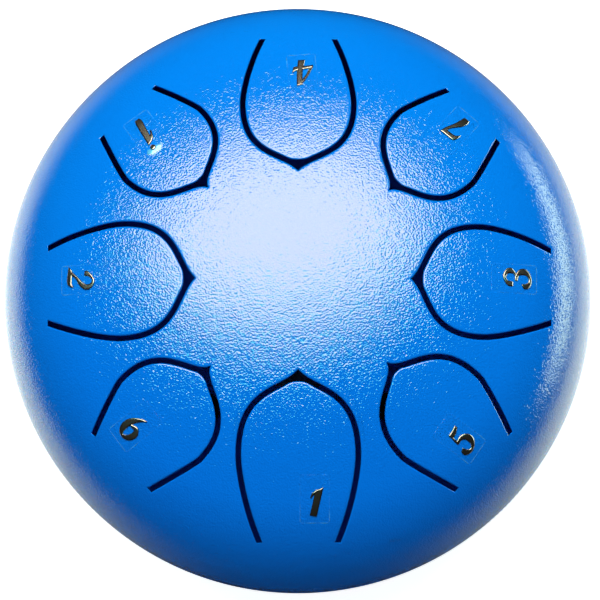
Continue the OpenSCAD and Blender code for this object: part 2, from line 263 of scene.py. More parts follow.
def windowCurves(i):
    # Half the outline of a window as two Bezier curves, from its point to its widest
    # place and on to its root line. A pull is the length of a curve's handle.
    kind = windowKind(i)
    long = tongues["length"] * tongues["lengthShares"][i]
    half = tongues["width"] / 2 * tongues["widthShares"][i]
    a, b = math.radians(kind["pointAngle"]), math.radians(kind["rootAngle"])
    tip = np.array([rootRadius(i) - long, 0])
    wide = np.array([tip[0] + kind["widePlace"] * long, half])
    end = np.array([rootRadius(i), kind["rootWidth"] * half])
    fromTip = kind["pointPull"] * long * np.array([math.cos(a), math.sin(a)])
    fromEnd = kind["rootPull"] * long * np.array([-math.cos(b), math.sin(b)])
    first = np.array([tip, tip + fromTip, wide - [kind["widePull"] * long, 0], wide])
    second = np.array([wide, wide + [kind["flankPull"] * long, 0], end + fromEnd, end])
    return first, second


def tongueSide(i, steps=260):
    # Half the outline of a tongue, from its nose to its root: a nose curve, then the
    # window's edge moved inwards by the slot's width, then straight on to the root line
    first, second = windowCurves(i)
    start, root = tongues["noseStart"], rootRadius(i)

    def beside(p, t):
        # P(t) + slot n(t), with n to the right of the curve's course
        d = bezierCourse(p, t)
        return bezier(p, t) + tongues["slot"] * np.column_stack([d[:, 1], -d[:, 0]])

    nose = first[0] + [tongues["noseGap"] * windowKind(i)["noseShare"], 0]
    joint, course = beside(first, [start])[0], bezierCourse(first, [start])[0]
    blend = tongues["noseBlend"] * np.linalg.norm(joint - nose)
    curve = np.array([nose, nose + [0, tongues["noseRound"] * joint[1]], joint - blend * course, joint])
    flank = beside(second, np.linspace(0, 1, steps))
    flank = flank[flank[:, 0] < root]
    d = bezierCourse(second, [1.0])[0]
    flank = np.vstack([flank, flank[-1] + (root - flank[-1, 0]) * np.array([1, d[1] / d[0]])])
    return chain(bezier(curve, np.linspace(0, 1, steps)),
                 beside(first, np.linspace(start, 1, steps)), flank)


def rightNormals(path, closed):
    # Unit normals to the right of a path: the step from the point before to the
    # point after, turned by a quarter
    if closed:
        d = np.roll(path, -1, 0) - np.roll(path, 1, 0)
    else:
        d = np.gradient(path, axis=0)
    d /= np.maximum(np.linalg.norm(d, axis=1)[:, None], 1e-9)
    return np.column_stack([d[:, 1], -d[:, 0]])


# Upper shell

topShell = {
    "hub": 15.0, "belt": 70.0,       # the windows' sectors lie between these radii
    "halfSector": 22.5,              # degrees
    "pointShare": 0.13,              # of a window's side, drawn by the columns at its point
    "pointColumns": 10, "flankColumns": 70, "endColumns": 4, "seamColumns": 20,
    "roundRows": 4,                  # of the edge that powder rounds
    "skinRows": 13, "skinCrowd": 1.25,
    "innerRows": 5, "innerCrowd": 1.1,
    "bulge": 0.3,                    # share of a column's length that it runs square to the edge
    "hubRings": 12, "firstRing": 1.0,
}


def windowRing(i):
    # One closed ring of points round window i, point first, and how much of the
    # edge rounding each keeps: none along the root line, where the tongue grows out
    first, second = windowCurves(i)
    side = chain(bezier(first, np.linspace(0, 1, 400)), bezier(second, np.linspace(0, 1, 300)))
    share, ends = topShell["pointShare"], topShell["endColumns"]
    point = resample(side, np.linspace(0, share, topShell["pointColumns"] + 1))
    flank = resample(side, np.linspace(share, 1, topShell["flankColumns"] + 1))
    corner = tongueSide(i)[-1]
    end = straight(side[-1], corner, ends)
    seam = straight(corner, (corner[0], 0), topShell["seamColumns"])
    half = chain(point, flank, end, seam)
    keep = np.r_[np.ones(len(point) + len(flank) - 1),
                 1 - smoothStep(np.linspace(0, 1, ends + 1)[1:]), np.zeros(len(seam) - 1)]
    other = half[-2:0:-1] * [1, -1]
    return np.vstack([half, other]), np.r_[keep, keep[-2:0:-1]]


def sectorRing():
    # The closed border of a window's sector, with as many points as the window's
    # ring: an arc at the hub, a ray out to the belt, an arc there, and their mirror
    hub, belt, wide = topShell["hub"], topShell["belt"], topShell["halfSector"]
    t = np.linspace(0, 1, topShell["flankColumns"] + 1)
    r = hub + (belt - hub) * (0.75 * t + 0.25 * smoothStep(t))
    ray = r[:, None] * [math.cos(math.radians(wide)), math.sin(math.radians(wide))]
    half = chain(arc((0, 0), hub, 0, wide, topShell["pointColumns"]), ray,
                 arc((0, 0), belt, wide, 0, topShell["endColumns"] + topShell["seamColumns"]))
    return np.vstack([half, half[-2:0:-1] * [1, -1]])


def quarterRound(edge, normal, e, angles):
    # Rows of an edge rounded by a quarter circle of radius e: each is e (1 - cos a)
    # in from the edge and e (1 - sin a) below the skin
    rows = [edge + normal * (e * (1 - math.cos(a)))[:, None] for a in np.radians(angles)]
    return rows, [e * (1 - math.sin(a)) for a in np.radians(angles)]


def spreadColumns(ring, normal, reach, border, count, crowd):
    # Rows from a ring W to the border B, (1 - s)^2 W + 2 s (1 - s) (W + reach n) +
    # s^2 B, so that each column leaves the ring square to it
    steps = (np.arange(1, count + 1) / count) ** crowd
    return [(1 - s) ** 2 * ring + 2 * s * (1 - s) * (ring + normal * reach) + s * s * border for s in steps]


def sectorGrids(i):
    # Skin, cut side and inner face of the sheet between window i and its sector's border
    ring, keep = windowRing(i)
    ring = turned(ring, tongues["turns"][i])
    border = sectorRing()
    normal = -rightNormals(ring, True)       # away from the window
    normal[0] = [-1, 0]
    angles = np.linspace(0, 90, topShell["roundRows"] + 1)
    rows, depths = quarterRound(ring, normal, tongues["edgeRound"] * keep, angles)
    reach = topShell["bulge"] * np.linalg.norm(border - rows[-1], axis=1)[:, None]
    rows += spreadColumns(rows[-1], normal, reach, border, topShell["skinRows"], topShell["skinCrowd"])
    depths += [np.zeros(len(ring))] * topShell["skinRows"]
    plan, depths = np.array(rows), np.array(depths)
    outer = np.dstack([plan, domeHeight(plan[..., 0], plan[..., 1]) - depths])
    plan = np.array([ring] + spreadColumns(ring, normal, reach, border, topShell["innerRows"],
                                           topShell["innerCrowd"]))
    inner = np.dstack([plan, domeHeight(plan[..., 0], plan[..., 1], drum["sheet"])])
    wall = np.array([outer[0] * (1 - s) + inner[0] * s for s in wallShares])
    grids = [(turned(g, tongues["sectors"][i]), True) for g in (outer, wall, inner)]
    return grids, [depths, depths[0] * (1 - wallShares) + drum["sheet"] * wallShares, drum["sheet"]]


def hubGrid(inset):
    # The middle of the dome: rings, closed at the pole, whose points meet those of
    # the eight sectors
    r = np.r_[0, np.linspace(topShell["firstRing"], topShell["hub"], topShell["hubRings"])]
    flat = revolve(np.column_stack([r, 0 * r]), 16 * topShell["pointColumns"], topShell["halfSector"])
    flat[..., 2] = domeHeight(flat[..., 0], flat[..., 1], inset)
    return flat, True


def rimGrid():
    # A section carried round the axis: from the sectors' outer edge down the
    # shoulder and the band, under the bevelled rim and up again inside
    c, q, t, b = drum["shoulderCentre"], drum["shoulderRadius"], drum["sheet"], drum["rimBevel"]
    seam, radius = drum["seam"], drum["radius"]
    top = seam + drum["band"]
    outAngle = math.degrees(math.acos((topShell["belt"] - c) / q))
    inAngle = math.degrees(math.acos((topShell["belt"] - c) / (q - t)))
    outside = chain(arc((c, top), q, outAngle, 0, 22),
                    straight((radius, top), (radius, seam + b), 3),
                    straight((radius, seam + b), (radius - b, seam), 2),
                    straight((radius - b, seam), (radius - t, seam), 1))
    within = chain(straight((radius - t, seam), (radius - t, top), 2),
                   arc((c, top), q - t, 0, inAngle, 8))[1:]
    depth = np.r_[np.zeros(len(outside)), np.full(len(within), t)]
    return (revolve(np.vstack([outside, within]), drum["columns"]), True), depth[:, None]


rim, rimDepth = rimGrid()
grids, depths = [hubGrid(0), hubGrid(drum["sheet"]), rim], [0, drum["sheet"], rimDepth]
for i in range(8):
    more = sectorGrids(i)
    grids, depths = grids + more[0], depths + more[1]
dome = makePiece("domeShell", grids, values=depths)
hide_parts("top_shell")
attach(dome, "drum")
print("upper shell: %d faces" % len(dome.data.polygons))


# Tongues

def tonguePiece(i):
    # The skin is the dome's own surface, with x from half the outline and y from
    # minus to plus its half width. A rounded edge, the cut side, an underside one
    # sheet below and a face at the root close it.
    half = resample(tongueSide(i), np.linspace(0, 1, tongues["rows"] + 1) ** tongues["noseCrowd"])
    normal = rightNormals(half, False)       # into the tongue, since its half outline starts at the nose
    normal[0] = [1, 0]
    e = tongues["edgeRound"] * smoothStep((half[-1, 0] - half[:, 0]) / tongues["rootFade"])
    band, depths = quarterRound(half, normal, e, np.linspace(90, 0, tongues["roundRows"] + 1))
    band, depths = np.array(band), np.array(depths)
    band[..., 1] = np.maximum(band[..., 1], 0)
    across = np.linspace(-1, 1, 2 * topShell["seamColumns"] + 1)

    def sheetGrid(line, inset):
        # (x, y times across, height of the dome there) for each (x, y) of a line
        x = line[:, 0, None] + 0 * across
        y = line[:, 1, None] * across
        return np.stack([x, y, domeHeight(x, y, inset)], -1)

    skin, under = sheetGrid(band[0], 0), sheetGrid(half, drum["sheet"])
    grids, marks = [skin, under], [0, drum["sheet"]]
    for sign in (1, -1):
        plan = band * [1, sign]
        rounded = np.dstack([plan, domeHeight(plan[..., 0], plan[..., 1]) - depths])
        low = np.column_stack([half * [1, sign], domeHeight(half[:, 0], half[:, 1], drum["sheet"])])
        grids += [rounded, np.array([rounded[-1] * (1 - s) + low * s for s in wallShares])]
        marks += [depths, depths[-1] * (1 - wallShares) + drum["sheet"] * wallShares]
    grids.append(np.array([skin[-1] * (1 - s) + under[-1] * s for s in wallShares]))
    marks.append(drum["sheet"] * wallShares)
    grids = [(turned(g, tongueAngle(i)), False) for g in grids]
    name = tongues["names"][i]
    piece = makePiece(pieceName("tongue", i), grids, values=marks)
    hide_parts("tongue_" + name)
    return piece


def bendWithTongue(piece):
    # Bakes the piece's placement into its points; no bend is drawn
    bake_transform(piece)


tonguePieces = [tonguePiece(i) for i in range(8)]
print("tongues: %d faces" % sum(len(p.data.polygons) for p in tonguePieces))


# Labels

labels = {
    "fromRoot": 8.4,       # from the tongue's root to the middle of the numeral
    # how far each label sits outwards and across, in shares of the numeral's height
    "shiftShares": [[-0.19, 0.57], [-0.07, -0.11], [-0.1, 0.17], [-0.22, -0.14],
                    [0.11, -0.06], [0.03, -0.49], [0.35, 0.03], [0.1, 0.11]],
    "turns": [0, 0, 0, 5, 9, -8.6, 5.7, -9.5],      # degrees
}
film = {
    "width": 7.6, "length": 12.0, "thick": 0.12, "corner": 0.8,
    "shift": 0.8,          # inwards of the middle of the numeral
    "points": 160, "rings": 16,
    "bent": 0.15,          # the top bends down over this much at the edge
    "wave": 0.02, "waveFrom": 0.6,
    "lift": 0.28, "liftFrom": 2.0, "fallFrom": 4.0, "liftOver": 2.2, "fallShare": 0.8,
    "middleShows": 0.003, "edgeShows": 0.06, "outerGlint": 0.4, "edgeBand": 0.3,
    # painted glint on high 1's film: how much shows, where, and how large
    "glint": 0.9, "glintPlace": (0.7, 4.75), "glintSize": (2.3, 1.1),
}
numeral = {
    "height": 7.2, "thick": 0.3,
    "bevel": 0.26,
    "foot": 0.4,           # share of the thickness that stands upright below the bevel
    "sunk": 0.6,           # the underside lies at this share of the film's thickness
    "rows": 84, "columns": 18,
    "layer": 0.02,         # each stroke is this share lower than the one before, where they cross
}

# Numerals, drawn in strokeUnits to their height. A stroke is a row of ribs, each
# given by its two ends as x, y, x, y, with smooth sides between.
numeralStrokes = [
    [[[2, 29, 22, 36], [-13, -33, 5, -36]],
     [[8, 31, 6, 20], [-6, 23, -4, 16], [-12, 10, -8, 9]]],
    [[[-22, 9, -9, 8], [-20, 19, -8, 18], [-9, 29, -3, 25], [5, 35, 2, 28],
      [17, 31, 10, 25], [26, 22, 13, 18], [27, 11, 11, 9], [21, 1, 4, 1],
      [11, -7, -4, -6], [1, -12, -12, -14], [-8, -20, -23, -25],
      [-10, -27, -28, -30]],
     [[-34, -33, -32, -30], [-20, -35, -23, -24], [0, -37, 0, -24],
      [12, -35, 12, -24], [20, -26, 18, -19]]],
    [[[-20, 11, -8, 11], [-20, 21, -7, 18], [-12, 31, -5, 25], [4, 37, 2, 29],
      [18, 33, 10, 26], [27, 23, 13, 19], [25, 12, 12, 10], [12, 2, 4, 4]],
     [[-6, 5, -6, -1], [8, 7, 9, -4]],
     [[10, 5, 2, 1], [22, -3, 8, -5], [27, -14, 10, -14], [24, -25, 9, -23],
      [14, -33, 4, -28], [0, -38, -3, -30], [-15, -36, -9, -28],
      [-25, -28, -12, -22], [-25, -18, -13, -15], [-17, -12, -14, -12]]],
    [[[2, 34, 17, 37], [-1, 0, 14, 0], [-10, -35, 8, -36]],
     [[6, 35, 6, 25], [-12, 14, -8, 8], [-29, -14, -19, -12]],
     [[-29, -12, -29, -19], [-10, -9, -8, -18], [12, -7, 14, -18],
      [26, -1, 22, -16]]],
    [[[-12, 34, -13, 22], [0, 34, 2, 21], [18, 36, 20, 28]],
     [[-11, 31, -6, 30], [-15, 12, -9, 12], [-16, 1, -8, 2]],
     [[-12, 9, -13, 0], [2, 10, -3, 1], [13, 7, 4, -3], [22, -2, 7, -11],
      [24, -14, 7, -20], [20, -25, 3, -27], [10, -33, -2, -29],
      [-3, -37, -7, -28], [-16, -35, -11, -23], [-26, -27, -13, -18],
      [-25, -16, -14, -12]]],
    [[[10, 38, 9, 33], [-2, 32, 1, 24], [-13, 23, -4, 15], [-22, 12, -8, 5],
      [-27, 0, -10, -6], [-28, -12, -10, -17], [-24, -24, -8, -26],
      [-15, -33, -4, -29], [-3, -37, 0, -28]],
     [[-4, -37, -1, -28], [9, -34, 4, -22], [19, -26, 7, -14], [24, -14, 8, -7],
      [23, -3, 5, -2], [16, 5, 1, -2], [8, 9, -3, -3], [-2, 6, -7, -3],
      [-11, 1, -12, -3]]],
    [[[-22, 10, -20, 10], [-20, 24, -15, 17], [-13, 34, -8, 21], [5, 35, 5, 22],
      [27, 36, 23, 22]],
     [[15, 30, 25, 31], [12, 16, 22, 19], [0, 0, 15, 4], [-9, -12, 10, -9],
      [-14, -25, 6, -23], [-14, -36, 2, -36]]],
    [[[-2, 30, 14, 36], [-8, -15, 10, -18], [-10, -32, 8, -34], [-7, -41, 5, -42]],
     [[5, 31, 4, 20], [-8, 24, -5, 15], [-15, 4, -11, 4]]],
]
strokeUnits = 72           # to the height of a numeral
octaveDot = [8, 47, 7]     # of high 1: its middle and its radius, in the same units


def onLabel(plan, i, height):
    # A flat drawing (right, up) turned to the label's direction, moved to its place
    # and laid on the dome, a height above it
    h = numeral["height"]
    along, across = labels["shiftShares"][i]
    out = rootRadius(i) - labels["fromRoot"] + h * along
    a = math.radians(90 + labels["turns"][i])
    x = out + plan[..., 0] * math.cos(a) - plan[..., 1] * math.sin(a)
    y = h * across + plan[..., 0] * math.sin(a) + plan[..., 1] * math.cos(a)
    return turned(np.stack([x, y, domeHeight(x, y, -height)], -1), tongueAngle(i))


def filmLift(v):
    # A blister near the inner end of high 1's film: a smooth step up, times a smooth
    # step most of the way down, so that its far side faces the lamp
    up = smoothStep((v - film["liftFrom"]) / film["liftOver"])
    down = smoothStep((v - film["fallFrom"]) / film["liftOver"])
    return film["lift"] * up * (1 - film["fallShare"] * down)


def filmPiece(i):
    # Rings of a rounded rectangle O shrunk towards its middle, P(s, a) = s O(a). The
    # top waves as a product of two sines, and bends down at the edge as a quarter
    # sine. Each point also gets the share of the film that shows there: a faint line
    # along the cut edge, much stronger at the outer end as a painted highlight, broken
    # by a sine times a cosine, and on high 1 a painted glint.
    w, l, c = film["width"] / 2, film["length"] / 2, film["corner"]
    corners = [(w - c, l - c, 0), (c - w, l - c, 90), (c - w, c - l, 180), (w - c, c - l, 270)]
    outline = np.vstack([arc((x, y), c, a, a + 90, 8) for x, y, a in corners])
    outline = resample(np.vstack([outline, outline[:1]]), np.arange(film["points"]) / film["points"])
    s = np.r_[np.linspace(0, 0.86, film["rings"]), 0.9, 0.925, 0.945, 0.96, 0.975, 0.988, 1]
    plan = s[:, None, None] * outline
    u, v = plan[..., 0], plan[..., 1]
    gap = np.minimum(w - np.abs(u), l - np.abs(v))
    wave = film["wave"] * np.sin(1.7 * u + 0.9 * v + i) * np.sin(1.1 * v - 0.7 * u + 2.3 * i)
    bent = 0.5 + 0.5 * np.sin(np.pi / 2 * np.clip(gap / film["bent"], 0, 1))
    height = film["thick"] * bent + wave * smoothStep(gap / film["waveFrom"])
    low = 0 * u
    if i == highOne:
        raised = filmLift(v) * (0.8 + 0.2 * np.cos(1.4 * (u - 0.6)))
        height, low = height + raised, low + raised
    top = onLabel(plan + [0, film["shift"]], i, height)
    bottom = onLabel(plan + [0, film["shift"]], i, low)
    edge = np.array([top[-1], bottom[-1]])
    # painted highlight: a faint pale line along the cut edge, much stronger at the outer end, broken into
    # pieces
    broken = 0.55 + 0.45 * np.sin(1.9 * u + 1.3 * i) * np.cos(1.5 * v + 0.9 * i)
    line = (film["edgeShows"] + film["outerGlint"] * smoothStep(-v / l)) * broken
    show = film["middleShows"] + line * (1 - smoothStep(gap / film["edgeBand"]))
    # painted glint: high 1's film shows nearly opaque and pale in a blot where it lifts, besides the real
    # reflection off the lift
    if i == highOne:
        (x, y), (wide, high) = film["glintPlace"], film["glintSize"]
        blot = np.hypot((u - x) / wide, (v - y) / high) + 0.12 * np.sin(3.1 * u) * np.cos(2.3 * v)
        show = np.maximum(show, film["glint"] * (1 - smoothStep((blot - 0.7) / 0.4)))
    name = tongues["names"][i]
    piece = makePiece(pieceName("film", i), [(top, True), (edge, True), (bottom, True)],
                      sharp=50, values=[show, show[-1:], show], label="show")
    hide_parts("film_" + name)
    return piece


def strokeSides(ribs):
    # Catmull-Rom curves through both ends of the ribs, half of 2 b + (c - a) t +
    # (2 a - 5 b + 4 c - d) t^2 + (3 b - a - 3 c + d) t^3, sampled more finely at the ends
    p = np.array(ribs, float)
    n = len(p)
    q = (n - 1) * crowdEnds(np.linspace(0, 1, numeral["rows"] + 1))
    k = np.minimum(q.astype(int), n - 2)
    t = (q - k)[:, None]
    a, b, c, d = p[np.maximum(k - 1, 0)], p[k], p[k + 1], p[np.minimum(k + 2, n - 1)]
    line = 2 * b + (c - a) * t + (2 * a - 5 * b + 4 * c - d) * t ** 2 + (3 * b - a - 3 * c + d) * t ** 3
    line *= 0.5 * numeral["height"] / strokeUnits
    return line[:, :2], line[:, 2:]


def dotSides(rows=40):
    # Chords of a circle: x = x0 - r cos b, y = y0 + r sin b and y0 - r sin b
    x, y, r = (v * numeral["height"] / strokeUnits for v in octaveDot)
    b = np.linspace(0, np.pi, rows + 1)
    return [np.column_stack([x - r * np.cos(b), y + sign * r * np.sin(b)]) for sign in (1, -1)]


def depthInside(points, sides):
    # Distance from each point to the nearest edge of a stroke's outline, and zero
    # where a line from the point crosses the outline an even number of times
    ring = np.vstack([sides[0], sides[1][::-1]])
    a, b = ring, np.roll(ring, -1, 0)
    p = points.reshape(-1, 1, 2)
    d = b - a
    t = np.clip(((p - a) * d).sum(-1) / np.maximum((d ** 2).sum(-1), 1e-12), 0, 1)
    gap = np.linalg.norm(p - a - t[..., None] * d, axis=-1).min(1)
    slope = d[:, 0] / np.where(d[:, 1] == 0, 1e-12, d[:, 1])
    spans = (a[:, 1] > p[..., 1]) != (b[:, 1] > p[..., 1])
    crosses = spans & (p[..., 0] < a[:, 0] + (p[..., 1] - a[:, 1]) * slope)
    inside = crosses.sum(1) % 2 == 1
    return np.where(inside, gap, 0).reshape(points.shape[:-1])


def numeralPiece(i):
    # A strip per stroke, as high as the foot and the rest times sin(pi/2 min(d /
    # bevel, 1)), where d is how deep a point lies inside the whole figure
    strokes = [strokeSides(ribs) for ribs in numeralStrokes[i]]
    if i == highOne:
        strokes.append(dotSides())
    across = crowdEnds(np.linspace(0, 1, numeral["columns"] + 1))[None, :, None]
    grids = []
    for order, (left, right) in enumerate(strokes):
        plan = left[:, None] * (1 - across) + right[:, None] * across
        depth = np.maximum.reduce([depthInside(plan, s) for s in strokes])
        bevel = np.sin(np.pi / 2 * np.clip(depth / numeral["bevel"], 0, 1))
        share = (numeral["foot"] + (1 - numeral["foot"]) * bevel) * (1 - numeral["layer"] * order)
        height = film["thick"] + numeral["thick"] * share
        if i == highOne:
            height = height + filmLift(plan[..., 1] - film["shift"])
        top = onLabel(plan, i, height)
        bottom = onLabel(plan, i, 0 * height + film["thick"] * numeral["sunk"])
        ends = [np.array([top[k], bottom[k]]) for k in (0, -1)]
        flanks = [np.array([top[:, k], bottom[:, k]]) for k in (0, -1)]
        grids += [top, bottom] + ends + flanks
    name = tongues["names"][i]
    piece = makePiece(pieceName("numeral", i), [(g, False) for g in grids], sharp=40)
    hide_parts("numeral_" + name)
    return piece


filmPieces = [filmPiece(i) for i in range(8)]
numeralPieces = [numeralPiece(i) for i in range(8)]
print("labels: %d faces" % sum(len(p.data.polygons) for p in filmPieces + numeralPieces))


# Lower shell and seam

lowerShell = {
    "shoulder": 32.0,            # radius of the shoulder's section
    "floorGap": 7.0,             # underside of the base above the floor
    "soundHole": 20.0, "holeRound": 0.35,
    "lipHeight": 3.0, "lipGap": 0.1, "lipRound": 0.2,
    "stepHeight": 1.4,           # the lip grows out of the shell this far below the seam
    "screwHole": 2.2, "footCircle": 35.5, "footAngles": [45, 135, 225, 315],
    "patchNear": 29.0, "patchFar": 42.0,       # the sheet round a screw hole lies between these radii
    "patchSide": 11, "patchRows": 13,          # columns each side of the hole, and rows
    "patchRings": 5, "ringCrowd": 1.3,
}


def baseGrids(z):
    # The flat of the base at one face of the sheet: a polar grid with four patches
    # left out, each filled by rings (1 - s) C + s B from its screw hole C to its border B
    flat = lowerShell
    side, n = flat["patchSide"], drum["columns"]
    within = [flat["soundHole"] + flat["holeRound"], 23, 26]
    patch = np.linspace(flat["patchNear"], flat["patchFar"], flat["patchRows"] + 1)
    first, last = len(within), len(within) + flat["patchRows"]
    r = np.r_[within, patch, drum["radius"] - flat["shoulder"]][:, None]
    a = np.arange(n + 1) * 2 * np.pi / n
    grid = np.stack([r * np.cos(a), r * np.sin(a), z + 0 * r * a], -1)
    grids, circles = [(grid[:first + 1, :-1], True), (grid[last:, :-1], True)], []
    feet = [round(angle / 360 * n) for angle in flat["footAngles"]]
    steps = np.linspace(0, 1, flat["patchRings"] + 1) ** flat["ringCrowd"]
    for foot, after, angle in zip(feet, feet[1:] + [feet[0] + n], flat["footAngles"]):
        columns = np.arange(foot + side, after - side + 1) % n
        grids.append((grid[first:last + 1][:, columns], False))
        block = grid[first:last + 1][:, foot - side:foot + side + 1]
        border = np.concatenate([block[0, :-1], block[:-1, -1], block[-1, :0:-1], block[:0:-1, 0]])
        middle = turned(np.array([flat["footCircle"], 0, z]), angle)
        away = border - middle
        circle = middle + flat["screwHole"] * away / np.linalg.norm(away, axis=1)[:, None]
        grids.append((np.array([circle * (1 - s) + border * s for s in steps]), True))
        circles.append(circle)
    return grids, circles


def lowerShellPiece():
    # Two sections carried round the axis. One is the arc of the shoulder, r = c +
    # q cos a and z = zs + q sin a, the band, the bevelled rim, the lip with its step,
    # and the same arc one sheet further in. The other is the rounded sound hole.
    c, q, t = drum["radius"] - lowerShell["shoulder"], lowerShell["shoulder"], drum["sheet"]
    seam, b, radius = drum["seam"], drum["rimBevel"], drum["radius"]
    zs, low, e = seam - drum["band"], lowerShell["floorGap"], lowerShell["lipRound"]
    lipOut = radius - t - lowerShell["lipGap"]
    lipIn = lipOut - t
    lipTop, step = seam + lowerShell["lipHeight"] - e, seam - lowerShell["stepHeight"]
    outside = chain(arc((c, zs), q, -90, 0, 48),
                    straight((radius, zs), (radius, seam - b), 3),
                    straight((radius, seam - b), (radius - b, seam), 2))
    within = chain(straight((radius - b, seam), (lipOut, seam), 1),
                   straight((lipOut, seam), (lipOut, lipTop), 2),
                   arc((lipOut - e, lipTop), e, 0, 90, 3))[1:]
    within = chain(np.vstack([within, arc((lipIn + e, lipTop), e, 90, 180, 3)]),
                   straight((lipIn, lipTop), (lipIn, step), 2),
                   straight((lipIn, step), (radius - t, step), 1),
                   straight((radius - t, step), (radius - t, zs), 2),
                   arc((c, zs), q - t, 0, -90, 28))
    hole, e = lowerShell["soundHole"], lowerShell["holeRound"]
    throat = np.vstack([arc((hole + e, low + e), e, 270, 180, 5),
                        arc((hole + e, low + t - e), e, 180, 90, 5)])
    under, circlesUnder = baseGrids(low)
    over, circlesOver = baseGrids(low + t)
    holes = [(np.array([a, b]), True) for a, b in zip(circlesUnder, circlesOver)]
    depth = np.r_[np.zeros(len(outside)), np.full(len(within), t)][:, None]
    throatDepth = t * smoothStep(np.linspace(0, 1, len(throat)))[:, None]
    turns = [(revolve(s, drum["columns"]), True) for s in (np.vstack([outside, within]), throat)]
    marks = [depth, throatDepth] + [0] * len(under) + [t] * (len(over) + len(holes))
    return makePiece("lowerShell", turns + under + over + holes, values=marks)


base = lowerShellPiece()
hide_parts("bottom_shell")
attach(base, "drum")

weld = {
    "proud": 0.15, "ripple": 0.045, "ripples": 330, "wander": 0.03,
    "sunk": 0.004,         # its edges lie this far under the skin of the bands
    "least": 0.01,         # and its crest at least this far above them
}


def seamWeldPiece():
    # A shallow bead in the groove between the rims: r = R + crest cos(pi v / 2)^0.8
    # across it. The crest varies by slow cosines and ripples by cos(n a), as ground
    # weld does under paint, and its middle wanders up and down.
    n = 4 * drum["columns"]
    a = np.arange(n) * 2 * np.pi / n
    bevel, radius = drum["rimBevel"], drum["radius"]
    v = np.linspace(-1, 1, 11)[:, None]
    crest = weld["proud"] * (0.7 + 0.3 * np.cos(7 * a) * np.cos(3 * a + 1)) - weld["ripple"]
    crest = crest + weld["ripple"] * np.cos(weld["ripples"] * a + 2 * np.sin(5 * a))
    r = radius - weld["sunk"] + np.maximum(crest, weld["least"]) * np.cos(v * np.pi / 2) ** 0.8
    wander = weld["wander"] * np.sin(11 * a + 3 * np.sin(4 * a))
    z = drum["seam"] + bevel * v + wander * (1 - v * v)
    face = np.stack([r * np.cos(a), r * np.sin(a), z], -1)
    root = revolve([(radius - bevel, drum["seam"])], n)
    return makePiece("seamWeld", [(np.concatenate([root, face, root]), True)], values=[0])


seam = seamWeldPiece()
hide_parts("seam_weld")
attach(seam, "drum")
print("lower shell: %d faces, seam: %d faces" % (len(base.data.polygons), len(seam.data.polygons)))


# Feet and fasteners

rubberFoot = {
    "height": 7.0, "top": 8.0, "tip": 7.0, "columns": 96,      # top and tip are radii
    "edge": 0.7,           # rounding of the tread
    "round": 0.25,         # and of the top edge
    "mouth": 0.3,          # and of the recess
    "hollow": 0.18,        # of the side
    "recess": 4.7, "recessDepth": 4.2, "bore": 2.2,
}
washer = {"radius": 4.5, "thick": 0.8, "bore": 2.2, "edge": 0.12, "columns": 72}
washer["base"] = rubberFoot["recessDepth"] - washer["thick"]
screw = {
    "radius": 2.0, "length": 10.0, "columns": 96, "gap": 0.05,      # radius less gap is the thread's crest
    "pitch": 0.7, "threadDepth": 0.28, "threadRows": 169, "tip": 0.5,
    "plain": 1.2, "runIn": 0.8, "runOut": 0.4,       # no thread for 1.2, then these to full depth and back
    "head": 3.75, "headHeight": 2.2, "headRound": 0.5, "headRows": 45, "crown": 0.35,
    "bevel": 0.1,          # where the head and its underside meet
    "neck": 0.12,          # rounding between head and shank
    "crossWidth": 0.9, "crossLength": 4.0, "crossDepth": 1.2, "crossWall": 0.16, "crossEnd": 0.5,
}
screw["headBase"] = washer["base"] - screw["headHeight"]
nut = {
    "flat": 3.5, "height": 3.2, "bore": 2.03, "chamfer": 0.3, "chamferAngle": 30,
    "chamferShare": 0.97,  # of flat: where the cone meets the ends
    "columns": 144, "levels": [0, 0.05, 0.1, 0.16, 0.23, 0.31, 0.4, 1.6],
}


def atFoot(grid, angle):
    # Moves a grid from the axis out by the foot circle's radius, then turns it there
    return turned(np.array(grid) + [lowerShell["footCircle"], 0, 0], angle)


def footPiece(number):
    # Section carried round the foot's axis: a rounded tread, a side that is hollow by
    # a half sine, r = tip + (top - tip) t - hollow sin(pi t), the recess and the bore
    f = rubberFoot
    e, h, s, m = f["edge"], f["height"], f["round"], f["mouth"]
    t = np.linspace(0, 1, 10)
    side = np.column_stack([f["tip"] + (f["top"] - f["tip"]) * t - f["hollow"] * np.sin(np.pi * t),
                            e + (h - e - s) * t])
    tread = np.vstack([arc((f["recess"] + m, m), m, 180, 270, 4), arc((f["tip"] - e, e), e, 270, 360, 8)])
    section = chain(tread, side, arc((f["top"] - s, h - s), s, 0, 90, 3),
                    straight((f["top"] - s, h), (f["bore"], h), 3),
                    straight((f["bore"], h), (f["bore"], f["recessDepth"]), 2),
                    straight((f["bore"], f["recessDepth"]), (f["recess"], f["recessDepth"]), 2),
                    straight((f["recess"], f["recessDepth"]), (f["recess"], m), 3))
    grid = atFoot(revolve(section, f["columns"]), lowerShell["footAngles"][number])
    piece = makePiece("rubberFoot%d" % (number + 1), [(grid, True)])
    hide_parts("foot_%d" % (number + 1))
    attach(piece, "drum")
    return piece


